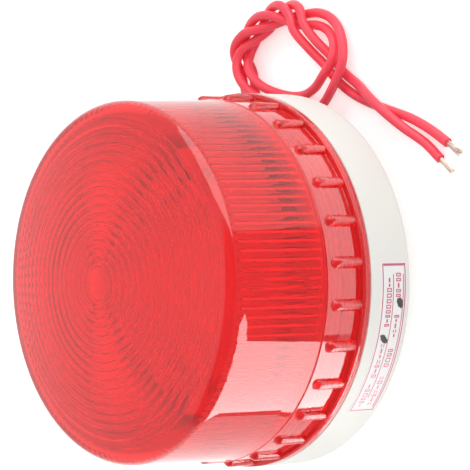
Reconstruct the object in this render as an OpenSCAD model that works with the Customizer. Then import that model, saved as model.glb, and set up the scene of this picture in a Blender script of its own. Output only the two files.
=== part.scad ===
// Flashing signal light: a small round beacon with a red screw-on lens over a white base.
// The base stands on three mounting studs, and two red wires leave it underneath.
// Millimetres, Z up along the axis of the lens.
// The origin is the centre of the base's mounting face, which lies on z = 0.

/* [Base] */
// Radius of the base and of the lens's flange
base_radius = 36.5; // [34:0.5:44]
// Height of the base, from its mounting face to the shoulder under the lens
base_height = 10.5; // [9:0.5:14]
// Thickness of the base's skirt and cup walls
base_wall = 2; // [1.6:0.1:2.6]
// Thickness of the base's floor
floor_thickness = 2.4; // [2:0.1:4]
// Radius of the base's lower outer edge
edge_radius = 1.5; // [0.6:0.1:1.5]
// Height of the threaded collar above the shoulder
collar_height = 8.7; // [7:0.1:11]

/* [Lens] */
// Height of the lens, from its lower edge to the top of its dome
lens_height = 36.6; // [32:0.2:44]
// Thickness of the lens's dome
dome_thickness = 2.2; // [1.8:0.1:3]
// Radius of the sphere that the dome is part of
dome_radius = 128; // [100:1:180]
// Radius of the rounded corner between dome and wall
corner_radius = 2.8; // [1.6:0.1:3]
// Thickness of the lens's wall between the flutes
window_wall = 2; // [1.8:0.1:2.6]
// Radius that the wall loses over its height, so that the lens leaves its mould
window_draft = 0.5; // [0.2:0.1:1]
// Height of the skirt that carries the grip ribs
skirt_height = 9.6; // [8.6:0.2:10.4]
// Thickness of the skirt
skirt_wall = 1.4; // [1.3:0.1:1.7]
// Height of the flange at the lens's lower edge
flange_height = 1.6; // [1.2:0.1:3]
// How far the flange stands out from the skirt
flange_step = 1.3; // [1:0.1:1.6]
// Number of grip ribs
rib_count = 28; // [16:1:36]
// Width of a grip rib
rib_width = 2.3; // [1.6:0.1:2.4]
// Number of upright flutes inside the wall
flute_count = 124; // [90:2:140]
// Depth of a flute
flute_depth = 0.5; // [0.2:0.05:0.6]
// Number of ring ridges under the dome
ring_count = 17; // [10:1:18]
// Distance from one ring ridge to the next
ring_pitch = 1.64; // [1.2:0.02:1.64]
// Height of a ring ridge
ring_depth = 0.4; // [0.2:0.05:0.6]

/* [Fits] */
// Room between the collar and the skirt, which the screw thread fills
thread_room = 0.6; // [0.4:0.05:0.9]
// Gap between the shoulder and the lens's lower edge when the seal is tight
shoulder_gap = 0.2; // [0.1:0.05:0.5]
// Thickness of the seal ring
seal_thickness = 1.2; // [0.8:0.1:2]
// Room round a screw or a stud in its hole
hole_room = 0.1; // [0.05:0.05:0.3]

/* [Mounting] */
// Number of mounting studs
stud_count = 3; // [3:1:4]
// Diameter of the circle that the studs stand on
stud_circle_diameter = 44; // [40:1:48]
// Diameter of a stud
stud_diameter = 4; // [3:0.5:5]
// How far a stud stands out below the mounting face
stud_drop = 8; // [6:1:16]
// Width of a stud's head across its flats
stud_head_width = 7; // [6:0.5:8]
// Height of a stud's head
stud_head_height = 2.8; // [2:0.1:3.5]
// Diameter of the cable hole in the floor
cable_hole = 7; // [6:0.5:9]

/* [Electronics] */
// Radius of the circuit board
board_radius = 28; // [26:0.5:29.5]
// Thickness of the circuit board
board_thickness = 1.6; // [1:0.1:2]
// How far the circuit board's underside lies below the top of the collar
board_drop = 4.2; // [3.2:0.1:4.6]
// Diameter of a board screw's shank
screw_diameter = 2.4; // [2:0.1:2.6]
// Number of lamps round the board
led_count = 12; // [6:1:14]
// Diameter of a lamp's body
led_diameter = 5; // [3:0.5:5]
// Height of a lamp's axis above the board
led_rise = 7; // [6:0.5:9]

/* [Label] */
// Length of the label along the base
label_length = 30.6; // [15:0.2:40]
// Height of the label
label_height = 6.2; // [4:0.1:6.6]
// Height of the label's lower edge
label_low = 1.8; // [1.5:0.1:2.2]
// Thickness of the label
label_thickness = 0.12; // [0.08:0.02:0.3]

/* [Wires] */
// Diameter of a wire over its insulation
wire_diameter = 1.9; // [1.4:0.1:1.9]
// Diameter of a wire's bare conductor
tip_diameter = 0.9; // [0.5:0.1:1]
// Length of the bare conductor
tip_length = 5; // [3:0.5:8]

/* [Hidden] */
$fn = 96;
// A cut or a joined part reaches this far past the face it meets
over = 0.5;

// Radii from the outside inwards
skirt_radius = base_radius - flange_step;
skirt_bore = skirt_radius - skirt_wall;
collar_radius = skirt_bore - thread_room;
cup_radius = collar_radius - base_wall;
window_step = 0.25;
window_low_radius = skirt_radius - window_step;
window_top_radius = window_low_radius - window_draft;
window_bore = window_top_radius - window_wall;

// Heights
collar_top = base_height + collar_height;
lens_low = base_height + shoulder_gap;
flange_top = lens_low + flange_height;
skirt_top = lens_low + skirt_height;
seal_top = collar_top + seal_thickness;
dome_top = lens_low + lens_height;
board_level = collar_top - board_drop;
board_top = board_level + board_thickness;

// Corner of the lens: a small circle that lies inside the dome's circle and touches it
dome_centre = dome_top - dome_radius;
corner_x = window_top_radius - corner_radius;
corner_reach = dome_radius - corner_radius;
corner_z = dome_centre + sqrt(corner_reach ^ 2 - corner_x ^ 2);
corner_touch = corner_x * dome_radius / corner_reach;

// Ring ridges under the dome
ring_first = 3;
bore_radius = dome_radius - dome_thickness;
flute_sink = 0.1;
flute_end = 0.8;
flute_top = corner_z - flute_end;

// Grip ribs: upright half-round bars with ball tips
rib_radius = rib_width / 2;
rib_sink = 0.15;
rib_axis = skirt_radius - rib_sink;
rib_tip_drop = 2.4;
rib_tip = skirt_top - rib_tip_drop;
rib_turn = -8.4;

// Base
web_thickness = 2;
web_low = base_height - web_thickness;
stud_turn = 85;
stud_step = 0.4;
stud_shoulder = stud_diameter / 2 + stud_step;
post_turn = 25;
post_count = 3;
post_circle_diameter = 44;
post_radius = 3;
pilot_depth = 7;
screw_radius = screw_diameter / 2;
screw_head_radius = 2.3;
screw_head_height = 1.6;
screw_slot = 0.7;
screw_slot_length = 2.8;
screw_length = 6;

// Cable grommet: its lower flange lies flush in a counterbore of the floor
grommet_flange = 1;
grommet_lip = 1.5;

// Seal ring
seal_room = 0.4;
seal_outer = skirt_bore - seal_room;
seal_inset = 0.2;
seal_inner = cup_radius + seal_inset;

// Label
label_turn = -110;
label_angle = label_length / base_radius * 180 / PI;

// Lamps
led_inset = 10.5;
led_seat = board_radius - led_inset;
led_radius = led_diameter / 2;
led_flange = 0.4;
led_flange_height = 1;
led_straight = 6.1;
lead_width = 0.5;
lead_pitch = 2.54;
lead_back = 1.6;

// Parts under the board: each has its place there
capacitor_radius = 5;
capacitor_height = 10.4;
capacitor_place = [-11, 4];
film_size = [6, 13, 9.5];
film_place = [10.5, -5];
chip_size = [9.4, 6.4, 3.3];
chip_place = [11.5, 6];
chip_foot = 0.5;
transistor_radius = 2.4;
transistor_height = 4.6;
transistor_flat = 1.3;
transistor_leg = 2;
transistor_place = [-9, 14];

// Resistors, which lie on the board between the lamps' legs
resistor_count = 4;
resistor_radius = 1.2;
resistor_length = 6.3;
resistor_reach = 4.4;
resistor_rise = 1.6;
resistor_inset = 6.5;
resistor_ring = board_radius - resistor_inset;
resistor_turns = [0, 60, 180, 240];

// Rectifier diodes, which lie along the board's edge, where dark streaks show through the flutes
diode_count = 4;
diode_radius = 1.35;
diode_length = 5.2;
diode_reach = 3.2;
diode_rise = 2.4;
diode_inset = 2.7;
diode_ring = board_radius - diode_inset;
diode_turns = [-15, -32, -49, -66];

// Wires: the pair's route, as x, y, height over the standing surface, roll and spread.
// Roll turns the pair about its own run, and spread is the distance between the wires.
wire_radius = wire_diameter / 2;
table = -stud_drop;
exit_heading = 25;
pair_spread = 2.5;
way_out = [
    [0, 0, stud_drop, 0, pair_spread],
    [1.6, 0.7, stud_drop / 2, 0, pair_spread],
    [6, 2.8, 1.4, 0, 2.5],
    [12.5, 5.8, 1, 0, 2.5],
    [19, 8.9, 1, 0, 2.5],
    [25.5, 11.9, 1, 0, 2.5],
    [32, 14.8, 1, 0, 2.5],
    [37.6, 17.2, 1.3, 10, 2.5]
];
// The stretch where both turns of the loop run twisted together, as x, y and twist
bundle_height = 2.8;
bundle_offset = 1.3;
bundle = [
    [42.4, 17.2, -60],
    [46.4, 18, -15],
    [49.5, 15.5, 30],
    [51.6, 11.9, 80],
    [53.1, 8, 130],
    [53.6, 4, 185],
    [52.4, 0.2, 240]
];
// The first turn leaves the twist, crosses over the way to the ends and comes round again
way_round = [
    [51.5, -4, 1.2, 355, 2.5],
    [49.9, -7.9, 1.5, 360, 2.5],
    [46.7, -11, 2.5, 360, 2.6],
    [42.6, -11.7, 3.4, 360, 3],
    [38.6, -9, 3.6, 360, 3.8],
    [35.7, -4, 2.2, 360, 4.2],
    [34.7, 2.2, 1.1, 360, 3.8],
    [36, 8.4, 1.6, 365, 3],
    [38.8, 13.6, 3.2, 380, 2.5]
];
// The second turn goes under the first and on to the bare ends
way_to_ends = [
    [50, -1.4, 4.2, 700, 2.5],
    [46.4, -3.7, 2.7, 720, 2.5],
    [42.8, -6.7, 1, 720, 2.5],
    [39.3, -10.4, 1, 720, 2.4],
    [36.6, -14.9, 1.3, 730, 2.4],
    [34.2, -19.7, 2, 770, 2.4],
    [31.8, -24.6, 2.2, 810, 2.4],
    [29.2, -29.6, 1.8, 860, 2.4],
    [26.4, -34.4, 1.1, 895, 2.8],
    [23.4, -38.6, 1, 900, 3.6]
];

LEDS = [for (i = [1:led_count]) str("led_", i)];
RESISTORS = [for (i = [1:resistor_count]) str("resistor_", i)];
DIODES = [for (i = [1:diode_count]) str("rectifier_diode_", i)];

// Copies on a circle: count places, radius and the turn of the first
module around(count, radius, turn) {
    for (i = [0:count - 1])
        rotate(turn + i * 360 / count)
            translate([radius, 0, 0])
                children();
}

// Half of the base's section, without holes
module base_section() {
    square([cup_radius + over, floor_thickness]);
    translate([cup_radius, 0])
        square([base_wall, collar_top]);
    translate([cup_radius, web_low])
        square([base_radius - cup_radius, web_thickness]);
    translate([base_radius - base_wall, edge_radius])
        square([base_wall, base_height - edge_radius]);
    translate([base_radius - base_wall, 0])
        square([base_wall - edge_radius, edge_radius + over]);
    translate([base_radius - edge_radius, edge_radius])
        intersection() {
            circle(edge_radius);
            translate([0, -edge_radius])
                square(edge_radius);
        }
}

module base_housing() {
    color("ivory")
        difference() {
            union() {
                rotate_extrude()
                    base_section();
                around(post_count, post_circle_diameter / 2, post_turn)
                    translate([0, 0, floor_thickness - over])
                        cylinder(r = post_radius, h = board_level - floor_thickness + over);
            }
            around(post_count, post_circle_diameter / 2, post_turn)
                translate([0, 0, board_level - pilot_depth])
                    cylinder(r = screw_radius + hole_room, h = pilot_depth + over);
            around(stud_count, stud_circle_diameter / 2, stud_turn)
                translate([0, 0, -over])
                    cylinder(r = stud_shoulder + hole_room, h = floor_thickness + 2 * over);
            translate([0, 0, -over])
                cylinder(d = cable_hole, h = floor_thickness + 2 * over);
            translate([0, 0, -over])
                cylinder(r = cable_hole / 2 + grommet_lip + hole_room, h = grommet_flange + over);
        }
}

module rating_label() {
    color("white")
        rotate(label_turn - label_angle / 2)
            rotate_extrude(angle = label_angle)
                translate([base_radius, label_low])
                    square([label_thickness, label_height]);
}

// One stud: its hexagon head lies inside the base, and its shoulder fills the floor's hole
module stud() {
    translate([0, 0, floor_thickness])
        cylinder(d = stud_head_width / cos(30), h = stud_head_height, $fn = 6);
    cylinder(r = stud_shoulder, h = floor_thickness + over);
    translate([0, 0, -stud_drop])
        cylinder(d = stud_diameter, h = stud_drop + over);
}

module mounting_studs() {
    color("silver")
        around(stud_count, stud_circle_diameter / 2, stud_turn)
            stud();
}

// The two wires side by side at the place where they leave the base
module wire_places() {
    for (side = [-1, 1])
        rotate(exit_heading + 90)
            translate([side * pair_spread / 2, 0, 0])
                children();
}

module cable_grommet() {
    lip = cable_hole / 2 + grommet_lip;
    top = floor_thickness + grommet_flange;
    color("dimgray")
        difference() {
            union() {
                cylinder(r = lip, h = grommet_flange);
                cylinder(d = cable_hole, h = top);
                translate([0, 0, floor_thickness])
                    cylinder(r = lip, h = grommet_flange);
            }
            wire_places()
                translate([0, 0, -over])
                    cylinder(r = wire_radius, h = top + 2 * over);
        }
}

module seal_ring() {
    color("gainsboro")
        rotate_extrude()
            translate([seal_inner, collar_top])
                square([seal_outer - seal_inner, seal_thickness]);
}

// Half of the outside of the lens
module lens_outside() {
    intersection() {
        translate([0, dome_centre])
            circle(dome_radius, $fn = 720);
        translate([0, corner_z])
            square([corner_touch, dome_top]);
    }
    translate([corner_x, corner_z])
        intersection() {
            circle(corner_radius);
            square(corner_radius);
        }
    polygon([
        [0, lens_low],
        [base_radius, lens_low],
        [base_radius, flange_top],
        [skirt_radius, flange_top],
        [skirt_radius, skirt_top],
        [window_low_radius, skirt_top],
        [window_top_radius, corner_z],
        [0, corner_z + over]
    ]);
}

// Height of the dome's plain underside at a distance from the axis
function under_dome(r) = dome_centre + sqrt(bore_radius ^ 2 - r ^ 2);

// Half of the hollow inside the lens, with the ring ridges hanging from its top
module lens_hollow() {
    polygon(concat(
        [
            [0, lens_low - over],
            [skirt_bore, lens_low - over],
            [skirt_bore, seal_top],
            [window_bore, seal_top],
            [window_bore, corner_z - over],
            [corner_x - over, under_dome(corner_x)]
        ],
        [
            for (i = [ring_count:-1:1])
                let (outer = ring_first + i * ring_pitch, ridge = outer - ring_pitch / 2)
                    each [[outer, under_dome(outer)], [ridge, under_dome(ridge) - ring_depth]]
        ],
        [[ring_first, under_dome(ring_first)], [0, under_dome(0)]]
    ));
}

// The upright flutes, as one prism with a saw-tooth outline
module flutes() {
    step = 180 / flute_count;
    translate([0, 0, seal_top])
        linear_extrude(flute_top - seal_top)
            polygon([
                for (i = [0:2 * flute_count - 1])
                    let (r = window_bore + (i % 2 == 0 ? flute_depth : -flute_sink))
                        [r * cos(i * step), r * sin(i * step)]
            ]);
}

module grip_rib() {
    translate([0, 0, flange_top - over])
        cylinder(r = rib_radius, h = rib_tip - flange_top + over, $fn = 48);
    translate([0, 0, rib_tip])
        sphere(rib_radius, $fn = 48);
}

module lens() {
    color("red", 0.7)
        difference() {
            union() {
                rotate_extrude()
                    lens_outside();
                around(rib_count, rib_axis, rib_turn)
                    grip_rib();
            }
            rotate_extrude()
                lens_hollow();
            flutes();
        }
}

module circuit_board() {
    color("whitesmoke")
        translate([0, 0, board_level])
            difference() {
                cylinder(r = board_radius, h = board_thickness);
                around(post_count, post_circle_diameter / 2, post_turn)
                    translate([0, 0, -over])
                        cylinder(r = screw_radius + hole_room, h = board_thickness + 2 * over);
            }
}

// One board screw: a pan head with a cross recess
module board_screw() {
    translate([0, 0, board_top])
        difference() {
            cylinder(r = screw_head_radius, h = screw_head_height);
            for (turn = [0, 90])
                rotate(turn)
                    translate([-screw_slot_length / 2, -screw_slot / 2, screw_head_height / 2])
                        cube([screw_slot_length, screw_slot, screw_head_height]);
        }
    translate([0, 0, board_level - screw_length])
        cylinder(r = screw_radius, h = screw_length + board_thickness + over);
}

module board_screws() {
    color("silver")
        around(post_count, post_circle_diameter / 2, post_turn)
            board_screw();
}

// One lamp: a clear body that looks outwards, on two legs bent down to the board
module led(index) {
    color("white", 0.8)
        rotate(index * 360 / led_count)
            translate([led_seat, 0, board_top + led_rise]) {
                rotate([0, 90, 0]) {
                    cylinder(r = led_radius + led_flange, h = led_flange_height);
                    cylinder(r = led_radius, h = led_straight);
                    translate([0, 0, led_straight])
                        sphere(led_radius, $fn = 48);
                }
                for (side = [-1, 1])
                    translate([-lead_back, side * lead_pitch / 2 - lead_width / 2, 0]) {
                        translate([0, 0, -lead_width / 2])
                            cube([lead_back + over, lead_width, lead_width]);
                        translate([0, 0, -led_rise])
                            cube([lead_width, lead_width, led_rise + lead_width / 2]);
                    }
            }
}

// What its children draw upwards hangs from the board's underside at a place on the board
module under_board(place) {
    translate([place.x, place.y, board_level])
        mirror([0, 0, 1])
            children();
}

// A can with the crimped groove of its sleeve
module main_capacitor() {
    groove = 0.5;
    groove_drop = 2;
    color("black")
        under_board(capacitor_place)
            difference() {
                cylinder(r = capacitor_radius, h = capacitor_height);
                translate([0, 0, groove_drop])
                    rotate_extrude()
                        translate([capacitor_radius + groove / 2, 0])
                            circle(groove, $fn = 24);
            }
}

// A block that stands on the middle of its lower face
module block(size) {
    translate([-size.x / 2, -size.y / 2, 0])
        cube(size);
}

module film_capacitor() {
    color("firebrick")
        under_board(film_place)
            block(film_size);
}

// Eight-legged chip
module flasher_chip() {
    foot_count = 4;
    foot_pitch = 2.2;
    foot_out = 0.8;
    color("black")
        under_board(chip_place) {
            translate([0, 0, chip_foot])
                block(chip_size);
            for (i = [0:foot_count - 1])
                for (side = [-1, 1])
                    translate([(i - (foot_count - 1) / 2) * foot_pitch, side * chip_size.y / 2, 0])
                        block([lead_width, foot_out, chip_foot + chip_size.z / 2]);
        }
}

// Three-legged transistor with one flat side
module drive_transistor() {
    leg_pitch = 1.27;
    color("black")
        under_board(transistor_place) {
            translate([0, 0, transistor_leg])
                difference() {
                    cylinder(r = transistor_radius, h = transistor_height, $fn = 48);
                    translate([transistor_flat, -transistor_radius, -over])
                        cube([transistor_radius, 2 * transistor_radius, transistor_height + 2 * over]);
                }
            for (i = [-1:1])
                translate([0, i * leg_pitch, 0])
                    block([lead_width, lead_width, transistor_leg + over]);
        }
}

// A round part lying on the board at a turn and a distance from the middle, held up by its two bent leads
module axial(turn, ring, rise, radius, length, reach) {
    rotate(turn)
        translate([ring, 0, board_top + rise]) {
            rotate([90, 0, 0])
                cylinder(r = radius, h = length, center = true, $fn = 48);
            translate([-lead_width / 2, -reach, -lead_width / 2])
                cube([lead_width, 2 * reach, lead_width]);
            for (side = [-1, 1])
                translate([-lead_width / 2, side * reach - lead_width / 2, -rise])
                    cube([lead_width, lead_width, rise + lead_width / 2]);
        }
}

module resistor(index) {
    turn = resistor_turns[index - 1];
    color("tan")
        axial(turn, resistor_ring, resistor_rise, resistor_radius, resistor_length, resistor_reach);
}

module rectifier_diode(index) {
    turn = diode_turns[index - 1];
    color("black")
        axial(turn, diode_ring, diode_rise, diode_radius, diode_length, diode_reach);
}

// The straight run of a wire from the board down through the grommet
module inner_lead(side) {
    color("crimson")
        rotate(exit_heading + 90)
            translate([side * pair_spread / 2, 0, 0])
                cylinder(r = wire_radius, h = board_level, $fn = 32);
}

// A point of the twisted stretch as a point of the pair's route, for the first or second turn
function in_bundle(i, turn) =
    let (
        p = bundle[i],
        before = bundle[max(i - 1, 0)],
        after = bundle[min(i + 1, len(bundle) - 1)],
        outward = atan2(after.y - before.y, after.x - before.x) + 90,
        shift = turn == 0 ? bundle_offset : -bundle_offset,
        flat_shift = shift * cos(p[2])
    )
        [
            p.x + flat_shift * cos(outward),
            p.y + flat_shift * sin(outward),
            bundle_height + shift * sin(p[2]),
            p[2] + 90 + turn * 360,
            pair_spread
        ];

pair = concat(
    way_out,
    [for (i = [0:len(bundle) - 1]) in_bundle(i, 0)],
    way_round,
    [for (i = [0:len(bundle) - 1]) in_bundle(i, 1)],
    way_to_ends
);

// Heading of the pair's route, seen from above
function heading(i) =
    let (step = pair[min(i + 1, len(pair) - 1)] - pair[max(i - 1, 0)])
        i == 0 ? exit_heading : atan2(step.y, step.x);

// Where one wire of the pair is at a point of the route
function wire_point(i, side) =
    let (
        p = pair[i],
        sideways = heading(i) + 90,
        reach = side * p[4] / 2
    )
        [
            p.x + reach * cos(p[3]) * cos(sideways),
            p.y + reach * cos(p[3]) * sin(sideways),
            table + p[2] + reach * sin(p[3])
        ];

function unit(v) = v / norm(v);

// A ring of the tube, square to the way that the wire runs there
wire_sides = 8;
function wire_ring(points, i, sideways) =
    let (
        first = i == 0,
        along = first ? [0, 0, -1] : unit(points[min(i + 1, len(points) - 1)] - points[i - 1]),
        flat = [cos(sideways), sin(sideways), 0],
        across = unit(flat - (flat * along) * along),
        upright = cross(along, across)
    )
        [
            for (k = [0:wire_sides - 1])
                let (a = k * 360 / wire_sides)
                    points[i] + wire_radius * (cos(a) * across + sin(a) * upright)
        ];

// One wire: a tube with flat ends along its side of the pair's route
module wire(side) {
    points = [for (i = [0:len(pair) - 1]) wire_point(i, side)];
    rings = [for (i = [0:len(pair) - 1]) each wire_ring(points, i, heading(i) + 90)];
    last = len(pair) - 1;
    color("crimson")
        polyhedron(
            points = rings,
            faces = concat(
                [[for (k = [wire_sides - 1:-1:0]) k]],
                [
                    for (i = [0:last - 1])
                        for (k = [0:wire_sides - 1])
                            let (
                                a = i * wire_sides + k,
                                b = i * wire_sides + (k + 1) % wire_sides,
                                c = b + wire_sides,
                                d = a + wire_sides
                            )
                                each [[a, b, c], [a, c, d]]
                ],
                [[for (k = [0:wire_sides - 1]) last * wire_sides + k]]
            )
        );
}

// The bare conductor at the end of a wire
module wire_tip(side) {
    last = len(pair) - 1;
    end = wire_point(last, side);
    along = unit(end - wire_point(last - 1, side));
    color("peru")
        translate(end)
            rotate([0, acos(along.z), atan2(along.y, along.x)])
                cylinder(d = tip_diameter, h = tip_length, $fn = 24);
}

base_housing();
rating_label();
mounting_studs();
cable_grommet();
seal_ring();
lens();
circuit_board();
board_screws();
for (i = [1:led_count]) led(i);
main_capacitor();
film_capacitor();
flasher_chip();
drive_transistor();
for (i = [1:resistor_count]) resistor(i);
for (i = [1:diode_count]) rectifier_diode(i);
inner_lead(-1);  // inner_lead_1
inner_lead(1);  // inner_lead_2
wire(-1);  // wire_1
wire(1);  // wire_2
wire_tip(-1);  // wire_tip_1
wire_tip(1);  // wire_tip_2
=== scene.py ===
"""Looks of a flashing signal light: a red screw-on lens over a white base, with two loose red wires.

Metres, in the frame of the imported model: Z up along the lens's axis, origin in the mounting face.
"""

import math
import random

import bmesh
import bpy
import numpy as np
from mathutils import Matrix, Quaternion, Vector


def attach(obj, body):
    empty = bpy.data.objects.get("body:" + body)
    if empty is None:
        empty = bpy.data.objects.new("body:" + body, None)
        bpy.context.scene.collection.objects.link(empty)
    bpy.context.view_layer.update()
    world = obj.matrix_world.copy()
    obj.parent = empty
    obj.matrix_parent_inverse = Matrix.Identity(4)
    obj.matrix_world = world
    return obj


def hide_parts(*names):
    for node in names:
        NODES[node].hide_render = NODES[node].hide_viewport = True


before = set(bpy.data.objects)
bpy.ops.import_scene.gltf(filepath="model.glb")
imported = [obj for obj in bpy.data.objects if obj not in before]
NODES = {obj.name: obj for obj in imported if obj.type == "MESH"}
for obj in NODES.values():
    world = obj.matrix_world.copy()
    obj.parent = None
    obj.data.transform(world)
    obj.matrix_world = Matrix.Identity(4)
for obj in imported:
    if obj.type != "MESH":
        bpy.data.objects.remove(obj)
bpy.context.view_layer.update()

FULL_TURN = 2 * math.pi

# Sizes of the part's source that the pieces below share, in metres
TABLE_Z = -0.008
BASE_RADIUS = 0.0365
LENS_LOW = 0.0107
FLANGE_TOP = 0.0123
SKIRT_TOP = 0.0203
SKIRT_RADIUS = 0.0352
SKIRT_BORE = 0.0338
COLLAR_RADIUS = 0.0332
LEDGE_Z = 0.0204
WINDOW_LOW_RADIUS = 0.03495
WINDOW_TOP_RADIUS = 0.03445
WINDOW_BORE = 0.03245
CORNER_RADIUS = 0.0028
DOME_TOP = 0.0473
DOME_RADIUS = 0.128
DOME_THICKNESS = 0.0022
WIRE_RADIUS = 0.00095
TIP_LENGTH = 0.005
THREAD_PITCH = 0.003
THREAD_START = 0.01126


# Camera


def make_camera():
    """A long lens, as the photograph's circles ask for, turned a quarter so that the dome faces left."""
    place = Vector((0.0, -0.40293, 0.34682))
    aim = Vector((0.00879, 0.0, 0.01288))
    quarter_turn = math.radians(-90.67)
    data = bpy.data.cameras.new("camera")
    data.sensor_width = 36.0
    data.lens = 205.2
    camera = bpy.data.objects.new("camera", data)
    bpy.context.scene.collection.objects.link(camera)
    level = (aim - place).to_track_quat("-Z", "Y")
    camera.rotation_mode = "QUATERNION"
    camera.location = place
    camera.rotation_quaternion = level @ Quaternion((0, 0, 1), quarter_turn)
    bpy.context.scene.camera = camera


make_camera()
bpy.context.scene.view_settings.view_transform = "Standard"
# Light is thrown about many times inside the clear lens before it leaves
bpy.context.scene.cycles.max_bounces = 24
bpy.context.scene.cycles.diffuse_bounces = 12
bpy.context.scene.cycles.glossy_bounces = 16
bpy.context.scene.cycles.transmission_bounces = 24


# Node materials


class Shader:
    """A material's node tree, with short calls to add and link nodes."""

    def __init__(self, name):
        self.material = bpy.data.materials.new(name)
        self.material.use_nodes = True
        self.tree = self.material.node_tree
        self.surface = self.tree.nodes["Principled BSDF"]
        self.output = self.tree.nodes["Material Output"]
        self.place = None

    def node(self, kind, settings=None, **inputs):
        made = self.tree.nodes.new(kind)
        for key, value in (settings or {}).items():
            setattr(made, key, value)
        for key, value in inputs.items():
            self.set(made.inputs[key.replace("_", " ")], value)
        return made

    def set(self, socket, value):
        if isinstance(value, bpy.types.NodeSocket):
            self.tree.links.new(value, socket)
        else:
            socket.default_value = value

    def principled(self, **inputs):
        for key, value in inputs.items():
            self.set(self.surface.inputs[key.replace("_", " ")], value)

    def object_place(self):
        if self.place is None:
            self.place = self.node("ShaderNodeTexCoord").outputs["Object"]
        return self.place

    def noise(self, scale, detail=2.0):
        """Noise with scale features a metre."""
        made = self.node("ShaderNodeTexNoise", Scale=scale, Detail=detail, Roughness=0.5)
        self.set(made.inputs["Vector"], self.object_place())
        return made.outputs["Fac"]

    def ramp(self, value, stops):
        """Colours along a value from 0 to 1."""
        made = self.node("ShaderNodeValToRGB", Fac=value)
        elements = made.color_ramp.elements
        while len(elements) < len(stops):
            elements.new(0.5)
        for element, (at, colour) in zip(elements, stops):
            element.position = at
            element.color = (*colour, 1.0)
        return made.outputs["Color"]

    def span(self, value, low, high):
        """A value from 0 to 1 as one from low to high."""
        made = self.node("ShaderNodeMapRange", Value=value)
        made.inputs["To Min"].default_value = low
        made.inputs["To Max"].default_value = high
        return made.outputs["Result"]

    def bump(self, height, depth):
        """Grain of a depth in metres."""
        made = self.node("ShaderNodeBump", Height=height, Strength=1.0)
        made.inputs["Distance"].default_value = depth
        self.set(self.surface.inputs["Normal"], made.outputs["Normal"])


def finish(name, colour, spread, roughness, cloud, grain, depth, **more):
    """A moulded or coated surface: clouded colour, uneven gloss and a fine grain.

    Spread is how far the colour strays, roughness its range; cloud and grain are features a metre.
    """
    shader = Shader(name)
    colour = np.array(colour)
    dark = tuple(np.clip(colour * (1 - spread), 0, 1))
    light = tuple(np.clip(colour * (1 + spread), 0, 1))
    clouds = shader.noise(cloud, 4.0)
    shader.principled(Base_Color=shader.ramp(clouds, [(0.3, dark), (0.7, light)]))
    shader.principled(Roughness=shader.span(shader.noise(cloud * 4, 3.0), *roughness), **more)
    shader.bump(shader.noise(grain, 2.0), depth)
    return shader.material


HAZE = "haze"


def lens_red():
    """Clear red plastic that scatters a little; its ribbed inside is hazier than the outside."""
    shader = Shader("lens_red")
    clouds = shader.ramp(shader.noise(45.0, 3.0), [(0.3, (0.98, 0.09, 0.1)), (0.7, (1.0, 0.11, 0.12))])
    haze = shader.node("ShaderNodeAttribute", {"attribute_name": HAZE})
    gloss = shader.node("ShaderNodeMath", {"operation": "ADD"})
    shader.set(gloss.inputs[0], haze.outputs["Fac"])
    shader.set(gloss.inputs[1], shader.span(shader.noise(160.0, 3.0), 0.0, 0.01))
    shader.principled(Base_Color=clouds, Roughness=gloss.outputs[0], Transmission_Weight=0.86, IOR=1.5)
    shader.bump(shader.noise(90.0, 2.0), 4e-6)
    body = shader.node("ShaderNodeVolumeAbsorption", Color=(1, 0.3, 0.32, 1), Density=500.0)
    shader.set(shader.output.inputs["Volume"], body.outputs["Volume"])
    return shader.material


def print_pink(name, pale):
    """Pink print, paler towards the label's left end and uneven along it."""
    shader = Shader(name)
    parts = shader.node("ShaderNodeSeparateXYZ", Vector=shader.object_place())
    # The print runs from pale at the label's left end to deep at its right, with uneven blotches
    along = shader.node("ShaderNodeMapRange", Value=parts.outputs["X"])
    along.inputs["From Min"].default_value = -0.026
    along.inputs["From Max"].default_value = 0.0
    print_strength = shader.node("ShaderNodeMath", {"operation": "ADD"})
    shader.set(print_strength.inputs[0], along.outputs["Result"])
    shader.set(print_strength.inputs[1], shader.span(shader.noise(700.0, 3.0), -0.3, 0.3))
    pinks = [(0.0, pale), (0.55, (0.64, 0.17, 0.25)), (0.9, (0.56, 0.1, 0.17))]
    shader.principled(Base_Color=shader.ramp(print_strength.outputs[0], pinks))
    shader.principled(Roughness=shader.span(shader.noise(2400.0, 3.0), 0.4, 0.5))
    shader.bump(shader.noise(3000.0, 2.0), 2e-6)
    return shader.material


def paint(obj, material):
    obj.data.materials.clear()
    obj.data.materials.append(material)


# Mesh building


def face_outwards(mesh):
    work = bmesh.new()
    work.from_mesh(mesh)
    bmesh.ops.recalc_face_normals(work, faces=work.faces)
    work.to_mesh(mesh)
    work.free()


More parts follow.
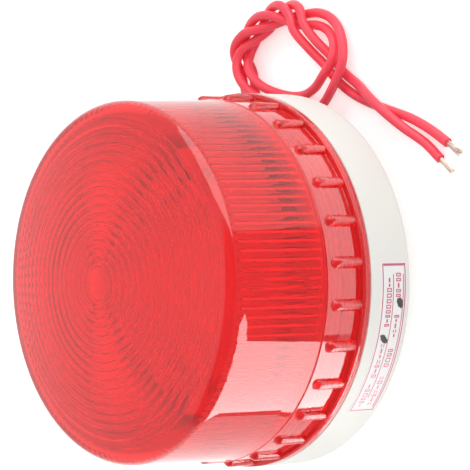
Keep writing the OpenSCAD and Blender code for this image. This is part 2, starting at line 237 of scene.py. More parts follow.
class Sheets:
    """Loops of points joined into one mesh."""

    def __init__(self):
        self.points = []
        self.faces = []

    def loop(self, points):
        start = len(self.points)
        self.points.extend(tuple(p) for p in points)
        return list(range(start, len(self.points)))

    def band(self, a, b):
        """Quads between two closed loops of one length."""
        for i in range(len(a)):
            j = (i + 1) % len(a)
            self.faces.append((a[i], a[j], b[j], b[i]))

    def zipper(self, a, a_turns, b, b_turns):
        """Triangles between two closed loops of different lengths, given the turn of each point."""
        i = j = 0
        while i < len(a) or j < len(b):
            next_a = a_turns[i + 1] if i + 1 < len(a) else a_turns[0] + FULL_TURN
            next_b = b_turns[j + 1] if j + 1 < len(b) else b_turns[0] + FULL_TURN
            here_a, here_b = a[i % len(a)], b[j % len(b)]
            if j >= len(b) or (i < len(a) and next_a <= next_b):
                self.faces.append((here_a, a[(i + 1) % len(a)], here_b))
                i += 1
            else:
                self.faces.append((here_a, b[(j + 1) % len(b)], here_b))
                j += 1

    def cap(self, loop, point):
        """A fan from a loop to one point."""
        tip = self.loop([point])[0]
        for i in range(len(loop)):
            self.faces.append((loop[i], loop[(i + 1) % len(loop)], tip))

    def tube(self, sections):
        """A closed body along a row of sections, each a loop of one length."""
        loops = [self.loop(section) for section in sections]
        for a, b in zip(loops, loops[1:]):
            self.band(a, b)
        self.faces.append(tuple(loops[0]))
        self.faces.append(tuple(loops[-1]))

    def make(self, name, material, sharp=None):
        mesh = bpy.data.meshes.new(name)
        mesh.from_pydata(self.points, [], self.faces)
        face_outwards(mesh)
        mesh.shade_smooth()
        if sharp is not None:
            mesh.set_sharp_from_angle(angle=math.radians(sharp))
        obj = bpy.data.objects.new(name, mesh)
        bpy.context.scene.collection.objects.link(obj)
        obj.data.materials.append(material)
        return obj


def turns(count):
    return [FULL_TURN * i / count for i in range(count)]


def circle(angles, radius, z, centre=(0, 0)):
    """Points round an upright axis; radius is one number or a function of the turn."""
    size = radius if callable(radius) else lambda turn: radius
    return [(centre[0] + size(t) * math.cos(t), centre[1] + size(t) * math.sin(t), z) for t in angles]


def settle(piece, body, slot, *replaced):
    """Fixes a piece to its body and hides the solids that it stands for; its finish's slot is not used."""
    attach(piece, body)
    if replaced:
        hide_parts(*replaced)


# Wires

# The pair's route, from the part's source: x, y, height over the table, roll in degrees and spread
EXIT_HEADING = math.radians(25)
PAIR_SPREAD = 0.0025
WAY_OUT = [
    (0.0, 0.0, 0.008, 0, 0.0025),
    (0.0016, 0.0007, 0.004, 0, 0.0025),
    (0.006, 0.0028, 0.0014, 0, 0.0025),
    (0.0125, 0.0058, 0.001, 0, 0.0025),
    (0.019, 0.0089, 0.001, 0, 0.0025),
    (0.0255, 0.0119, 0.001, 0, 0.0025),
    (0.032, 0.0148, 0.001, 0, 0.0025),
    (0.0376, 0.0172, 0.0013, 10, 0.0025),
]
# The stretch where both turns of the loop run twisted together: x, y and twist
BUNDLE_HEIGHT = 0.0028
BUNDLE_OFFSET = 0.0013
BUNDLE = [
    (0.0424, 0.0172, -60),
    (0.0464, 0.018, -15),
    (0.0495, 0.0155, 30),
    (0.0516, 0.0119, 80),
    (0.0531, 0.008, 130),
    (0.0536, 0.004, 185),
    (0.0524, 0.0002, 240),
]
WAY_ROUND = [
    (0.0515, -0.004, 0.0012, 355, 0.0025),
    (0.0499, -0.0079, 0.0015, 360, 0.0025),
    (0.0467, -0.011, 0.0025, 360, 0.0026),
    (0.0426, -0.0117, 0.0034, 360, 0.003),
    (0.0386, -0.009, 0.0036, 360, 0.0038),
    (0.0357, -0.004, 0.0022, 360, 0.0042),
    (0.0347, 0.0022, 0.0011, 360, 0.0038),
    (0.036, 0.0084, 0.0016, 365, 0.003),
    (0.0388, 0.0136, 0.0032, 380, 0.0025),
]
WAY_TO_ENDS = [
    (0.05, -0.0014, 0.0042, 700, 0.0025),
    (0.0464, -0.0037, 0.0027, 720, 0.0025),
    (0.0428, -0.0067, 0.001, 720, 0.0025),
    (0.0393, -0.0104, 0.001, 720, 0.0024),
    (0.0366, -0.0149, 0.0013, 730, 0.0024),
    (0.0342, -0.0197, 0.002, 770, 0.0024),
    (0.0318, -0.0246, 0.0022, 810, 0.0024),
    (0.0292, -0.0296, 0.0018, 860, 0.0024),
    (0.0264, -0.0344, 0.0011, 895, 0.0028),
    (0.0234, -0.0386, 0.001, 900, 0.0036),
]


def in_bundle(i, turn):
    """A point of the twisted stretch as a point of the pair's route, for the first or second turn."""
    x, y, twist = BUNDLE[i]
    before = BUNDLE[max(i - 1, 0)]
    after = BUNDLE[min(i + 1, len(BUNDLE) - 1)]
    outward = math.atan2(after[1] - before[1], after[0] - before[0]) + math.pi / 2
    shift = BUNDLE_OFFSET if turn == 0 else -BUNDLE_OFFSET
    flat = shift * math.cos(math.radians(twist))
    height = BUNDLE_HEIGHT + shift * math.sin(math.radians(twist))
    roll = twist + 90 + turn * 360
    return (x + flat * math.cos(outward), y + flat * math.sin(outward), height, roll, PAIR_SPREAD)


def pair_route():
    first, second = ([in_bundle(i, turn) for i in range(len(BUNDLE))] for turn in (0, 1))
    return WAY_OUT + first + WAY_ROUND + second + WAY_TO_ENDS


def wire_points(side):
    """The points of one wire of the pair, as the part's source places them."""
    route = pair_route()
    points = []
    for i, (x, y, height, roll, spread) in enumerate(route):
        before, after = route[max(i - 1, 0)], route[min(i + 1, len(route) - 1)]
        heading = math.atan2(after[1] - before[1], after[0] - before[0]) if i else EXIT_HEADING
        reach = side * spread / 2
        flat = reach * math.cos(math.radians(roll))
        rise = reach * math.sin(math.radians(roll))
        x -= flat * math.sin(heading)
        y += flat * math.cos(heading)
        points.append(Vector((x, y, TABLE_Z + height + rise)))
    return points


def make_curve(name, routes, radius, rounds, material):
    """Round strands along smooth curves; the curves' handles stay above the table."""
    data = bpy.data.curves.new(name, "CURVE")
    data.dimensions = "3D"
    data.bevel_depth = radius
    data.bevel_resolution = rounds
    data.resolution_u = 8
    data.use_fill_caps = True
    for points in routes:
        spline = data.splines.new("BEZIER")
        spline.bezier_points.add(len(points) - 1)
        for i, knot in enumerate(spline.bezier_points):
            before, here, after = points[max(i - 1, 0)], points[i], points[min(i + 1, len(points) - 1)]
            along = (after - before).normalized()
            knot.handle_left_type = knot.handle_right_type = "FREE"
            knot.co = here
            knot.handle_left = here - along * (here - before).length / 3
            knot.handle_right = here + along * (after - here).length / 3
            knot.handle_left.z = max(knot.handle_left.z, TABLE_Z + radius)
            knot.handle_right.z = max(knot.handle_right.z, TABLE_Z + radius)
    obj = bpy.data.objects.new(name, data)
    bpy.context.scene.collection.objects.link(obj)
    data.materials.append(material)
    return obj


STRAND_RADIUS = 0.0001
STRAND_RINGS = [(1, 0.0), (6, 0.00021), (10, 0.0004)]


def strand_routes(points, flare, draw):
    """The bare strands at a wire's end, which twist about its line and spread towards their tips."""
    end = points[-1]
    along = (end - points[-2]).normalized()
    across = along.cross(Vector((0, 0, 1))).normalized()
    upright = across.cross(along)
    routes = []
    for count, radius in STRAND_RINGS:
        for k in range(count):
            start = FULL_TURN * k / count + draw.uniform(-0.15, 0.15)
            length = TIP_LENGTH * draw.uniform(0.86, 1.0)
            route = []
            for share in (0.0, 0.25, 0.5, 0.75, 1.0):
                turn = start + 1.3 * share
                reach = radius * (1 + flare * share**2) + flare * 0.00008 * share * draw.uniform(-1, 1)
                out = across * math.cos(turn) + upright * math.sin(turn)
                route.append(end + along * (length * share - 0.0006) + out * reach)
            routes.append(route)
    return routes


wire_red = finish("wire_red", (0.93, 0.06, 0.1), 0.04, (0.32, 0.45), 90.0, 2500.0, 3e-6)
tinned = finish("strand_tinned", (0.86, 0.74, 0.66), 0.15, (0.22, 0.38), 900.0, 6000.0, 5e-6, Metallic=0.9)

WIRE_SIDES = {1: -1, 2: 1}
TIP_FLARES = {1: 0.9, 2: 0.3}


def make_wires():
    draw = random.Random(5)
    for number, side in WIRE_SIDES.items():
        points = wire_points(side)
        wire = make_curve(f"red_wire_{number}", [points], WIRE_RADIUS, 4, wire_red)
        settle(wire, "base", "wire_red", f"wire_{number}")
        strands = strand_routes(points, TIP_FLARES[number], draw)
        tip = make_curve(f"bare_strands_{number}", strands, STRAND_RADIUS, 1, tinned)
        settle(tip, "base", "tip_copper", f"wire_tip_{number}")


make_wires()


# Finishes of the solids that stay

DULL = {"Specular_IOR_Level": 0.1}
ivory = finish("base_ivory", (0.85, 0.842, 0.795), 0.015, (0.45, 0.55), 40.0, 2200.0, 3e-6, **DULL)
rubber_black = finish("rubber_black", (0.03, 0.03, 0.032), 0.2, (0.6, 0.75), 80.0, 1500.0, 1e-5)
silicone = finish("silicone", (0.87, 0.86, 0.84), 0.03, (0.4, 0.55), 60.0, 1200.0, 6e-6)
zinc = finish("zinc_steel", (0.62, 0.63, 0.64), 0.1, (0.25, 0.4), 300.0, 3000.0, 6e-6, Metallic=1.0)
solder_mask = finish("solder_mask", (0.93, 0.93, 0.92), 0.02, (0.3, 0.4), 120.0, 1800.0, 8e-6)
epoxy_clear = finish("epoxy_clear", (0.93, 0.93, 0.92), 0.03, (0.05, 0.12), 120.0, 900.0, 2e-6)
sleeve_black = finish("sleeve_black", (0.02, 0.02, 0.025), 0.2, (0.25, 0.35), 120.0, 1500.0, 4e-6)
epoxy_brown = finish("epoxy_brown", (0.33, 0.08, 0.03), 0.15, (0.4, 0.5), 150.0, 900.0, 3e-5)
chip_black = finish("chip_black", (0.025, 0.025, 0.027), 0.2, (0.55, 0.7), 300.0, 4000.0, 8e-6)
lacquer_tan = finish("lacquer_tan", (0.55, 0.4, 0.22), 0.1, (0.3, 0.4), 200.0, 1200.0, 5e-6)
label_paper = finish("label_paper", (0.9, 0.9, 0.9), 0.015, (0.45, 0.55), 150.0, 2600.0, 3e-6, **DULL)
marker_black = finish("marker_black", (0.035, 0.035, 0.04), 0.3, (0.4, 0.55), 900.0, 3000.0, 2e-6)

NODE_FINISHES = {
    "base_housing": ivory,
    "rating_label": label_paper,
    "cable_grommet": rubber_black,
    "seal_ring": silicone,
    "circuit_board": solder_mask,
    "board_screws": zinc,
    "led": epoxy_clear,
    "main_capacitor": sleeve_black,
    "film_capacitor": epoxy_brown,
    "rectifier_diode": chip_black,
    "flasher_chip": chip_black,
    "drive_transistor": chip_black,
    "resistor": lacquer_tan,
    "inner_lead": wire_red,
}
for name, node in NODES.items():
    kind = name.rstrip("0123456789").rstrip("_")
    if kind in NODE_FINISHES:
        paint(node, NODE_FINISHES[kind])


# Lens

RIB_COUNT = 28
RIB_RADIUS = 0.00115
RIB_AXIS = 0.03505
RIB_TIP = 0.0179
RIB_TURN = math.radians(-8.4)
FLUTE_COUNT = 124
FLUTE_DEPTH = 0.0005
FLUTE_TOP = 0.0399
FLUTE_END = 0.0009
FLUTE_STEPS = 6
# Air between the lens's ledge and the seal under it
SEAL_GAP = 0.00004
RING_COUNT = 17
RING_FIRST = 0.003
RING_PITCH = 0.00164
RING_DEPTH = 0.0004
RING_STEPS = 6
LENS_THREAD_DEPTH = 0.00035
LENS_THREAD_LOW = 0.0113
LENS_THREAD_HIGH = 0.0196
THREAD_RUN_OUT = 0.0012
# The wall swells a little above the skirt, so that the step between them stays a fine line
SWELL_TOP = 0.0233
STEP_SWELL = 0.00015
DOME_CENTRE = DOME_TOP - DOME_RADIUS
CORNER_X = WINDOW_TOP_RADIUS - CORNER_RADIUS
CORNER_REACH = DOME_RADIUS - CORNER_RADIUS
CORNER_Z = DOME_CENTRE + math.sqrt(CORNER_REACH**2 - CORNER_X**2)
CORNER_TOUCH = CORNER_X * DOME_RADIUS / CORNER_REACH


def rib_turns():
    """Turns round the lens, close together over the ribs and wide between them."""
    half = math.asin(0.99 * RIB_RADIUS / RIB_AXIS)
    across = [half * math.sin(math.pi / 2 * t) for t in np.linspace(-1, 1, 11)]
    between = np.linspace(half, FULL_TURN / RIB_COUNT - half, 6)[1:-1]
    found = []
    for k in range(RIB_COUNT):
        middle = RIB_TURN + FULL_TURN * k / RIB_COUNT
        found += [(middle + t) % FULL_TURN for t in [*across, *between]]
    return sorted(found)


def with_ribs(radius, z):
    """A radius round the lens that swells at the ribs: round bars with ball tips."""

    def size(turn):
        pitch = FULL_TURN / RIB_COUNT
        away = (turn - RIB_TURN + pitch / 2) % pitch - pitch / 2
        left = RIB_RADIUS**2 - (RIB_AXIS * math.sin(away)) ** 2 - max(z - RIB_TIP, 0) ** 2
        if left <= 0:
            return radius
        return max(radius, RIB_AXIS * math.cos(away) + math.sqrt(left))

    return size


def lens_outside_rows():
    """Radius and height down the outside, from the dome's middle to the flange's lower edge."""
    rows = []
    for r in np.linspace(0.0006, CORNER_TOUCH, 22):
        rows.append((r, DOME_CENTRE + math.sqrt(DOME_RADIUS**2 - r**2)))
    lean = math.asin(CORNER_X / CORNER_REACH)
    for a in np.linspace(lean, math.pi / 2, 14)[1:]:
        rows.append((CORNER_X + CORNER_RADIUS * math.sin(a), CORNER_Z + CORNER_RADIUS * math.cos(a)))
    wall = (CORNER_Z - 0.0003, 0.034, 0.027, SWELL_TOP + 0.0003, SWELL_TOP)
    for z in (*wall, SKIRT_TOP + 0.0002, SKIRT_TOP + 0.00005):
        share = (CORNER_Z - z) / (CORNER_Z - SKIRT_TOP)
        swell = STEP_SWELL * min(max((SWELL_TOP - z) / (SWELL_TOP - SKIRT_TOP), 0.0), 1.0)
        rows.append((WINDOW_TOP_RADIUS + share * (WINDOW_LOW_RADIUS - WINDOW_TOP_RADIUS) + swell, z))
    step = [(0.00019, -0.00002), (0.00023, -0.00007), (0.00025, -0.00015), (0.00025, -0.00025)]
    rows += [(WINDOW_LOW_RADIUS + out, SKIRT_TOP + up) for out, up in step]
    for lift in np.linspace(1, 0, 10):
        rows.append((SKIRT_RADIUS, RIB_TIP + RIB_RADIUS * math.sin(lift * math.pi / 2)))
    rows += [(SKIRT_RADIUS, z) for z in (0.0165, 0.0149, FLANGE_TOP + 0.0005, FLANGE_TOP + 0.0004)]
    foot = [(0.00002, 0.00015), (0.00012, 0.00004), (0.0003, 0.0), (0.0009, 0.0)]
    rows += [(SKIRT_RADIUS + out, FLANGE_TOP + up) for out, up in foot]
    edge = [(0.00018, 0.00006), (0.00005, 0.00018), (0.0, 0.00035)]
    rows += [(BASE_RADIUS - back, FLANGE_TOP - down) for back, down in edge]
    rows += [(BASE_RADIUS, 0.01095), (0.03642, 0.01078), (0.03625, LENS_LOW), (0.0358, LENS_LOW)]
    return rows


def lens_thread(z):
    """Radius of the threaded bore: a soft ridge that climbs one pitch a turn and runs out at its ends."""
    rise = min(max((z - LENS_THREAD_LOW) / THREAD_RUN_OUT, 0.0), 1.0)
    fall = min(max((LENS_THREAD_HIGH - z) / THREAD_RUN_OUT, 0.0), 1.0)

    def size(turn):
        along = (z - THREAD_START) / THREAD_PITCH - turn / FULL_TURN
        swell = 0.5 - 0.5 * math.cos(FULL_TURN * along)
        return SKIRT_BORE - LENS_THREAD_DEPTH * swell * rise * fall

    return size


def flute(share):
    """Radius of the fluted wall, at a share of its depth: soft pillows with sharp grooves between."""

    def size(turn):
        t = 2 * ((turn * FLUTE_COUNT / FULL_TURN) % 1.0) - 1
        return WINDOW_BORE + share * FLUTE_DEPTH * t * t

    return size


def under_dome(r):
    return DOME_CENTRE + math.sqrt((DOME_RADIUS - DOME_THICKNESS) ** 2 - r**2)


def ring_rows():
    """Radius and height of the dome's underside from its rim inwards, over the ring ridges."""
    rim = RING_FIRST + RING_COUNT * RING_PITCH
    rows = [(r, under_dome(r)) for r in (0.0316, 0.0312)]
    for k in range(RING_COUNT * RING_STEPS + 1):
        r = rim - k * RING_PITCH / RING_STEPS
        t = 2 * ((k / RING_STEPS) % 1.0) - 1
        rows.append((r, under_dome(r) - RING_DEPTH * (1 - t * t)))
    return rows


def make_lens():
    sheets = Sheets()
    haze = []
    smooth, matt, frosted = 0.008, 0.06, 0.1
    ledge = LEDGE_Z + SEAL_GAP

    def row(angles, radius, z, rough):
        loop = sheets.loop(circle(angles, radius, z))
        haze.extend([rough] * len(loop))
        return loop

    def join(loops):
        for a, b in zip(loops, loops[1:]):
            sheets.band(a, b)

    outer, bore, fluted, dome = rib_turns(), turns(240), turns(FLUTE_COUNT * FLUTE_STEPS), turns(248)
    outside = [row(outer, with_ribs(r, z), z, smooth) for r, z in lens_outside_rows()]
    join(outside)
    sheets.cap(outside[0], (0, 0, DOME_TOP))
    haze.append(smooth)
    # Lower edge and threaded bore
    bored = [row(bore, 0.0341, LENS_LOW, smooth)]
    bored += [row(bore, lens_thread(z), z, frosted) for z in np.arange(0.011, LEDGE_Z - 0.0001, 0.00022)]
    bored.append(row(bore, SKIRT_BORE, ledge, frosted))
    sheets.zipper(outside[-1], outer, bored[0], bore)
    join(bored)
    # Fluted wall, whose flutes have round ends under the corner
    heights = [(ledge, 1, matt), (0.027, 1, matt), (0.034, 1, matt)]
    for s in (0, 0.3, 0.55, 0.75, 0.9, 1):
        heights.append((FLUTE_TOP - FLUTE_END * (1 - s), math.sqrt(1 - s * s), frosted if s else matt))
    wall = [row(fluted, flute(share), z, rough) for z, share, rough in heights]
    sheets.zipper(bored[-1], bore, wall[0], fluted)
    join(wall)
    # Inner corner, then the ring ridges under the dome
    rings = [row(dome, 0.0322, 0.0406, frosted)]
    rings += [row(dome, r, z, frosted) for r, z in ring_rows()]
    sheets.zipper(wall[-1], fluted, rings[0], dome)
    join(rings)
    sheets.cap(rings[-1], (0, 0, under_dome(0)))
    haze.append(frosted)
    lens = sheets.make("red_lens", lens_red(), 35)
    values = lens.data.attributes.new(HAZE, "FLOAT", "POINT")
    values.data.foreach_set("value", haze)
    settle(lens, "lens", "lens_red", "lens")


make_lens()


# Screw threads: one ridge round the collar, and the studs

COLLAR_THREAD_LOW = 0.0123
COLLAR_THREAD_TURNS = 2
COLLAR_THREAD_DEPTH = 0.00035


def make_collar_thread():
    """Two turns of a ridge that lie half a pitch from the lens's own, with ends that run out."""
    steps = 96 * COLLAR_THREAD_TURNS
    start = FULL_TURN * ((COLLAR_THREAD_LOW - THREAD_START) / THREAD_PITCH % 1.0)
    sections = []
    for i in range(steps + 1):
        turn = start + FULL_TURN * i * COLLAR_THREAD_TURNS / steps
        middle = COLLAR_THREAD_LOW + THREAD_PITCH * i * COLLAR_THREAD_TURNS / steps
        share = min(1.0, (i + 1) / 8, (steps + 1 - i) / 8)
        inner, outer = COLLAR_RADIUS - 0.00005, COLLAR_RADIUS + COLLAR_THREAD_DEPTH * share
        outline = [(inner, -0.0007), (outer, -0.00042), (outer, 0.00042), (inner, 0.0007)]
        x, y = math.cos(turn), math.sin(turn)
        sections.append([(r * x, r * y, middle + up * share) for r, up in outline])
    sheets = Sheets()
    sheets.tube(sections)
    settle(sheets.make("collar_thread", ivory, 30), "base", "base_white")


STUD_COUNT = 3
STUD_CIRCLE = 0.022
STUD_TURN = math.radians(85)
STUD_RADIUS = 0.002
STUD_PITCH = 0.0007
STUD_THREAD_DEPTH = 0.0004
STUD_SHOULDER = 0.0024
STUD_HEAD_FLATS = 0.007
STUD_HEAD_HEIGHT = 0.0028
FLOOR_THICKNESS = 0.0024
STUD_SIDES = 36


def stud_thread(z):
    """Radius of a stud at a height: a vee thread that runs out at the chamfered end and under the floor."""
    depth = STUD_THREAD_DEPTH * min(1.0, max(0.0, -z - 0.0003) / 0.0005)
    chamfer = max(0.0, 0.0004 - (z - TABLE_Z))

    def size(turn):
        along = (z / STUD_PITCH - turn / FULL_TURN) % 1.0
        return min(STUD_RADIUS - depth * (1 - abs(2 * along - 1)), STUD_RADIUS - chamfer)

    return size


def hexagon(across):
    """Distance from the middle to a hexagon's outline at each turn."""
    return lambda turn: across / 2 / math.cos((turn + math.pi / 6) % (math.pi / 3) - math.pi / 6)


def make_studs():
    sheets = Sheets()
    angles = turns(STUD_SIDES)
    head_top = FLOOR_THICKNESS + STUD_HEAD_HEIGHT
    head = hexagon(STUD_HEAD_FLATS)
    crown = STUD_HEAD_FLATS / 2 * 0.97
    for k in range(STUD_COUNT):
        place = STUD_TURN + FULL_TURN * k / STUD_COUNT
        centre = (STUD_CIRCLE * math.cos(place), STUD_CIRCLE * math.sin(place))
        rows = [(stud_thread(z), z) for z in np.arange(TABLE_Z, -0.0001, STUD_PITCH / 8)]
        rows += [(STUD_RADIUS, 0.0), (STUD_SHOULDER, 0.0), (STUD_SHOULDER, FLOOR_THICKNESS)]
        rows += [(head, FLOOR_THICKNESS), (head, head_top - 0.0004), (crown, head_top)]
        loops = [sheets.loop(circle(angles, r, z, centre)) for r, z in rows]
        for a, b in zip(loops, loops[1:]):
            sheets.band(a, b)
        sheets.cap(loops[0], (*centre, TABLE_Z))
        sheets.cap(loops[-1], (*centre, head_top))
    settle(sheets.make("threaded_studs", zinc, 40), "base", "stud_steel", "mounting_studs")


make_collar_thread()
make_studs()


# Print on the label: a frame, rules, rows of plain boxes and two marker dots

LABEL_RADIUS = 0.03662
LABEL_LOW = 0.0018
LABEL_HIGH = 0.008
LABEL_TURN = math.radians(-110)
LABEL_HALF = 0.0306 / BASE_RADIUS / 2
PRINT_HEIGHT = 0.00003


def on_label(along, z, height):
    """A point over the label: along is the length from its left end, seen from outside."""
    turn = LABEL_TURN - LABEL_HALF + along / LABEL_RADIUS
    radius = LABEL_RADIUS + height
    return (radius * math.cos(turn), radius * math.sin(turn), z)


def print_bar(sheets, left, right, low, high):
    """A thin closed bar bent round the label."""
    count = max(1, math.ceil((right - left) / 0.0006))
    sections = []
    for along in np.linspace(left, right, count + 1):
        corners = [(low, 0), (high, 0), (high, PRINT_HEIGHT), (low, PRINT_HEIGHT)]
        sections.append([on_label(along, z, height) for z, height in corners])
    sheets.tube(sections)


def print_box(sheets, left, right, low, high, line):
    """The outline of a rectangle, as four bars."""
    print_bar(sheets, left, right, low, low + line)
    print_bar(sheets, left, right, high - line, high)
    print_bar(sheets, left, left + line, low + line, high - line)
    print_bar(sheets, right - line, right, low + line, high - line)


MARK_LINE = 0.0002
MARK_HEIGHT = 0.0012
MARK_WIDTHS = (0.00045, 0.001)
MARK_GAP = 0.00028
# Stretches of plain marks on each row: where each starts and ends along the label
UPPER_ROW = (0.0055, [(0.0013, 0.0071), (0.0082, 0.0152), (0.0186, 0.0278)])
LOWER_ROW = (0.0032, [(0.0016, 0.0084), (0.0104, 0.0148), (0.0165, 0.0209), (0.0242, 0.0287)])


def print_marks(sheets, left, right, low, draw):
    """A stretch of plain marks of uneven widths: hollow boxes, pairs of bars and short filled bars."""
    high = low + MARK_HEIGHT
    while left < right - MARK_WIDTHS[0]:
        end = min(left + draw.uniform(*MARK_WIDTHS), right)
        kind = draw.choice(("box", "box", "pair", "bar"))
        if kind == "box":
            print_box(sheets, left, end, low, high, MARK_LINE)
        elif kind == "pair":
            print_bar(sheets, left, end, low + MARK_LINE, low + 2 * MARK_LINE)
            print_bar(sheets, left, end, high - 2 * MARK_LINE, high - MARK_LINE)
        else:
            print_bar(sheets, left, end, low + 2 * MARK_LINE, high - 2 * MARK_LINE)
        left = end + MARK_GAP


def make_print():
    draw = random.Random(8)
    lines, marks = Sheets(), Sheets()
    length = 2 * LABEL_HALF * LABEL_RADIUS
    margin, line, inset = 0.0002, 0.00022, 0.0005
    print_box(lines, margin, length - margin, LABEL_LOW + margin, LABEL_HIGH - margin, line)
    thick = length - margin - line
    print_bar(lines, thick - line, thick, LABEL_LOW + inset, LABEL_HIGH - inset)
    print_bar(lines, 0.0035, length - 0.0022, 0.00498, 0.00516)
    print_bar(lines, 0.001, length - 0.0022, 0.00248, 0.00266)
    for low, stretches in (UPPER_ROW, LOWER_ROW):
        for left, right in stretches:
            print_marks(marks, left, right, low, draw)
    line_pink = print_pink("line_pink", (0.66, 0.2, 0.28))
    mark_pink = print_pink("mark_pink", (0.84, 0.42, 0.5))
    settle(lines.make("label_lines", line_pink, 30), "base", "label_white")
    settle(marks.make("label_marks", mark_pink, 30), "base", "label_white")


# Marker dots: place along the label, height, half length, half width and lean
MARKER_DOTS = [
    (0.0231, 0.0033, 0.0011, 0.0007, 0.5),
    (0.0162, 0.0062, 0.0012, 0.0006, 0.9),
]


def make_marker_dots():
    """Two filled-in dots with uneven edges."""
    draw = random.Random(3)
    sheets = Sheets()
    for along, z, length, width, lean in MARKER_DOTS:
        outline = []
        for t in turns(22):
            reach = draw.uniform(0.85, 1.1)
            a, b = reach * length * math.cos(t), reach * width * math.sin(t)
            right = along + a * math.cos(lean) - b * math.sin(lean)
            up = z + a * math.sin(lean) + b * math.cos(lean)
            outline.append((right, up))
        low = sheets.loop([on_label(a, b, 0) for a, b in outline])
        high = sheets.loop([on_label(a, b, 2 * PRINT_HEIGHT) for a, b in outline])
        sheets.band(low, high)
        sheets.cap(low, on_label(along, z, 0))
        sheets.cap(high, on_label(along, z, 2 * PRINT_HEIGHT))
    settle(sheets.make("marker_dots", marker_black, 30), "base", "label_white")


make_print()
make_marker_dots()


# Floor, background and light

ROOM_SIDE = Vector((-0.464, -0.803, 0.375))
ROOM_LEVEL = 0.15
SURROUND_ON_DULL = 0.65
FLOOR_GLOW = 0.46


def make_world():
    """A white surround, softer on what is dull; glossy surfaces also mirror a dim room on one side."""
    world = bpy.data.worlds.new("studio")
    world.use_nodes = True
    bpy.context.scene.world = world
    tree = world.node_tree
    background = tree.nodes["Background"]
    path = tree.nodes.new("ShaderNodeLightPath")
    dull = tree.nodes.new("ShaderNodeMapRange")
    dull.inputs["To Min"].default_value = 1.0
    dull.inputs["To Max"].default_value = SURROUND_ON_DULL
    tree.links.new(path.outputs["Is Diffuse Ray"], dull.inputs["Value"])
    heading = tree.nodes.new("ShaderNodeTexCoord")
    towards = tree.nodes.new("ShaderNodeVectorMath")
    towards.operation = "DOT_PRODUCT"
    towards.inputs[1].default_value = ROOM_SIDE
    tree.links.new(heading.outputs["Generated"], towards.inputs[0])
    room = tree.nodes.new("ShaderNodeMapRange")
    room.inputs["From Min"].default_value = 0.45
    room.inputs["From Max"].default_value = 0.62
    tree.links.new(towards.outputs["Value"], room.inputs["Value"])
    # Rays through clear plastic count as glossy too, but only a reflection mirrors the room
    mirror = tree.nodes.new("ShaderNodeMath")
    mirror.operation = "SUBTRACT"
    tree.links.new(path.outputs["Is Glossy Ray"], mirror.inputs[0])
    tree.links.new(path.outputs["Is Transmission Ray"], mirror.inputs[1])
    seen = tree.nodes.new("ShaderNodeMath")
    seen.operation = "MULTIPLY"
    tree.links.new(room.outputs["Result"], seen.inputs[0])
    tree.links.new(mirror.outputs[0], seen.inputs[1])
    level = tree.nodes.new("ShaderNodeMapRange")
    level.inputs["To Max"].default_value = ROOM_LEVEL
    tree.links.new(seen.outputs[0], level.inputs["Value"])
    tree.links.new(dull.outputs["Result"], level.inputs["To Min"])
    tree.links.new(level.outputs["Result"], background.inputs["Strength"])
    background.inputs["Color"].default_value = (1, 1, 1, 1)


def make_floor():
    reach = 1.5
    floor = Sheets()
    corners = [(-reach, -reach), (reach, -reach), (reach, reach), (-reach, reach)]
    floor.faces.append(floor.loop([(x, y, TABLE_Z) for x, y in corners]))
    shader = Shader("floor_white")
    path = shader.node("ShaderNodeLightPath")
    seen = shader.node("ShaderNodeMath", {"operation": "SUBTRACT"})
    shader.set(seen.inputs[0], 1.0)
    shader.set(seen.inputs[1], path.outputs["Is Diffuse Ray"])
    grey = shader.ramp(shader.noise(8.0), [(0.3, (0.84, 0.84, 0.84)), (0.7, (0.86, 0.86, 0.86))])
    shader.principled(Base_Color=grey, Roughness=0.9, Specular_IOR_Level=0.0)
    glow = shader.span(seen.outputs[0], 0.0, FLOOR_GLOW)
    shader.principled(Emission_Color=(1, 1, 1, 1), Emission_Strength=glow)
    floor.make("floor", shader.material)


def make_card(name, corners, strength):
    """A bright card beside the object, which shows only as a reflection."""
    card = Sheets()
    card.faces.append(card.loop(corners))
    shader = Shader(name)
    shader.principled(Base_Color=(0, 0, 0, 1), Emission_Color=(1, 1, 1, 1), Emission_Strength=strength)
    obj = card.make(name, shader.material)
    obj.visible_camera = False
    obj.visible_diffuse = False
    obj.visible_transmission = False
    obj.visible_shadow = False


def make_light(name, place, aim, size, power):
    data = bpy.data.lights.new(name, "AREA")
    data.shape = "RECTANGLE"
    data.size, data.size_y = size
    data.energy = power
    obj = bpy.data.objects.new(name, data)
    bpy.context.scene.collection.objects.link(obj)
    obj.location = place
    obj.rotation_mode = "QUATERNION"
    obj.rotation_quaternion = (Vector(aim) - Vector(place)).to_track_quat("-Z", "Y")
    obj.visible_camera = False
    obj.visible_glossy = False


def mirrored(degrees, distance):
    """The floor point that shows mirrored in the wall at a turn, at a distance from the wall."""
    turn = math.radians(degrees)
    away = 2 * turn + math.pi / 2
    x = SKIRT_RADIUS * math.cos(turn) + distance * math.cos(away)
    y = SKIRT_RADIUS * math.sin(turn) + distance * math.sin(away)
    return (x, y)


def mirrored_band(degrees, near, far):
    """The outline of what shows mirrored over a row of turns, between two distances from the wall."""
    return [mirrored(t, near) for t in degrees] + [mirrored(t, far) for t in reversed(degrees)]


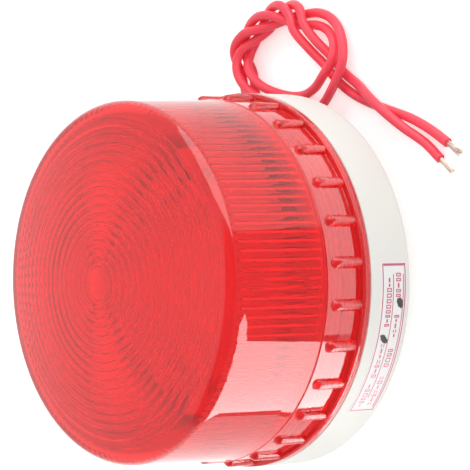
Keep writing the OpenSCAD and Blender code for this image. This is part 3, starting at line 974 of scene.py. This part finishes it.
# Cards that lie on the floor, each a little above the last: outline and strength
CARD_Z = TABLE_Z + 0.0005
CARD_STEP = 0.00005
PANEL_LOW_TURNS = (-134.5, -128, -122, -116, -110.8)
PANEL_SPIKE = [(-0.0476, -0.0799), (-0.0433, -0.0832), (-0.0282, -0.0917)]
PANEL_HIGH_TURNS = (-104, -108, -114, -120, -126, -132, -137, -139.8)
PANEL_TAIL = [(-0.0872, -0.017), (-0.0842, -0.0241)]
LEFT_EDGE = [(-0.0488, -0.0222), (-0.0827, -0.0199), (-0.0855, -0.0186), (-0.0882, -0.0085)]
NEAR_TURNS = (-108, -100, -90, -75, -60, -45)
FAR_TURNS = (-45, -35, -25, -15, -8)
DIM_EDGE = [(0.028, -0.064), (-0.03, -0.054), (-0.05, -0.02)]
FLOOR_CARDS = {
    "dim_card": (DIM_EDGE + [(-1.4, 0.0), (-1.4, -1.4), (0.7, -1.4)], 0.35),
    "panel_card": (
        [mirrored(t, 0.0232) for t in PANEL_LOW_TURNS]
        + PANEL_SPIKE
        + [mirrored(t, 0.0626) for t in PANEL_HIGH_TURNS]
        + PANEL_TAIL,
        7.0,
    ),
    "left_card": (LEFT_EDGE + [(-0.25, 0.03), (-0.25, 0.2), (-0.03, 0.2), (-0.045, 0.05)], 1.65),
    "rib_card": ([(-0.026, -0.037), (-0.031, -0.046), (-0.051, -0.02), (-0.044, -0.01)], 4.0),
    "near_card": (mirrored_band(NEAR_TURNS, 0.0228, 0.0325), 3.2),
    "skirt_card": (mirrored_band(PANEL_LOW_TURNS, 0.0232, 0.0324), 9.8),
}

# An upright card on the wires' side, as high as the glint along the lens's corner asks for
SIDE_CARD = [
    (0.285, 0.03, 0.0),
    (0.12, -0.3, 0.0),
    (0.14, -0.26, 0.06),
    (0.17, -0.2, 0.18),
    (0.2, -0.14, 0.26),
    (0.235, -0.07, 0.27),
    (0.265, -0.01, 0.16),
]

# A card over the wires, which keeps them out of the skirt's reflections
WIRE_CARD = [(x, y, -0.002) for x, y in mirrored_band(FAR_TURNS, 0.0175, 0.026)]

# Lamps: place and power
LAMP_AIM = (0, 0, 0.02)
LAMP_SIZE = (0.4, 0.4)
LAMPS = {
    "front": ((0.1, -0.45, 0.6), 0.8),
    "left": ((-0.6, -0.1, 0.35), 1.45),
    "right": ((0.6, -0.1, 0.35), 1.7),
}

make_world()
make_floor()
for i, (name, (outline, strength)) in enumerate(FLOOR_CARDS.items()):
    make_card(name, [(x, y, CARD_Z + i * CARD_STEP) for x, y in outline], strength)
make_card("side_card", SIDE_CARD, 4.0)
make_card("wire_card", WIRE_CARD, 1.6)
for name, (place, power) in LAMPS.items():
    make_light(name, place, LAMP_AIM, LAMP_SIZE, power)
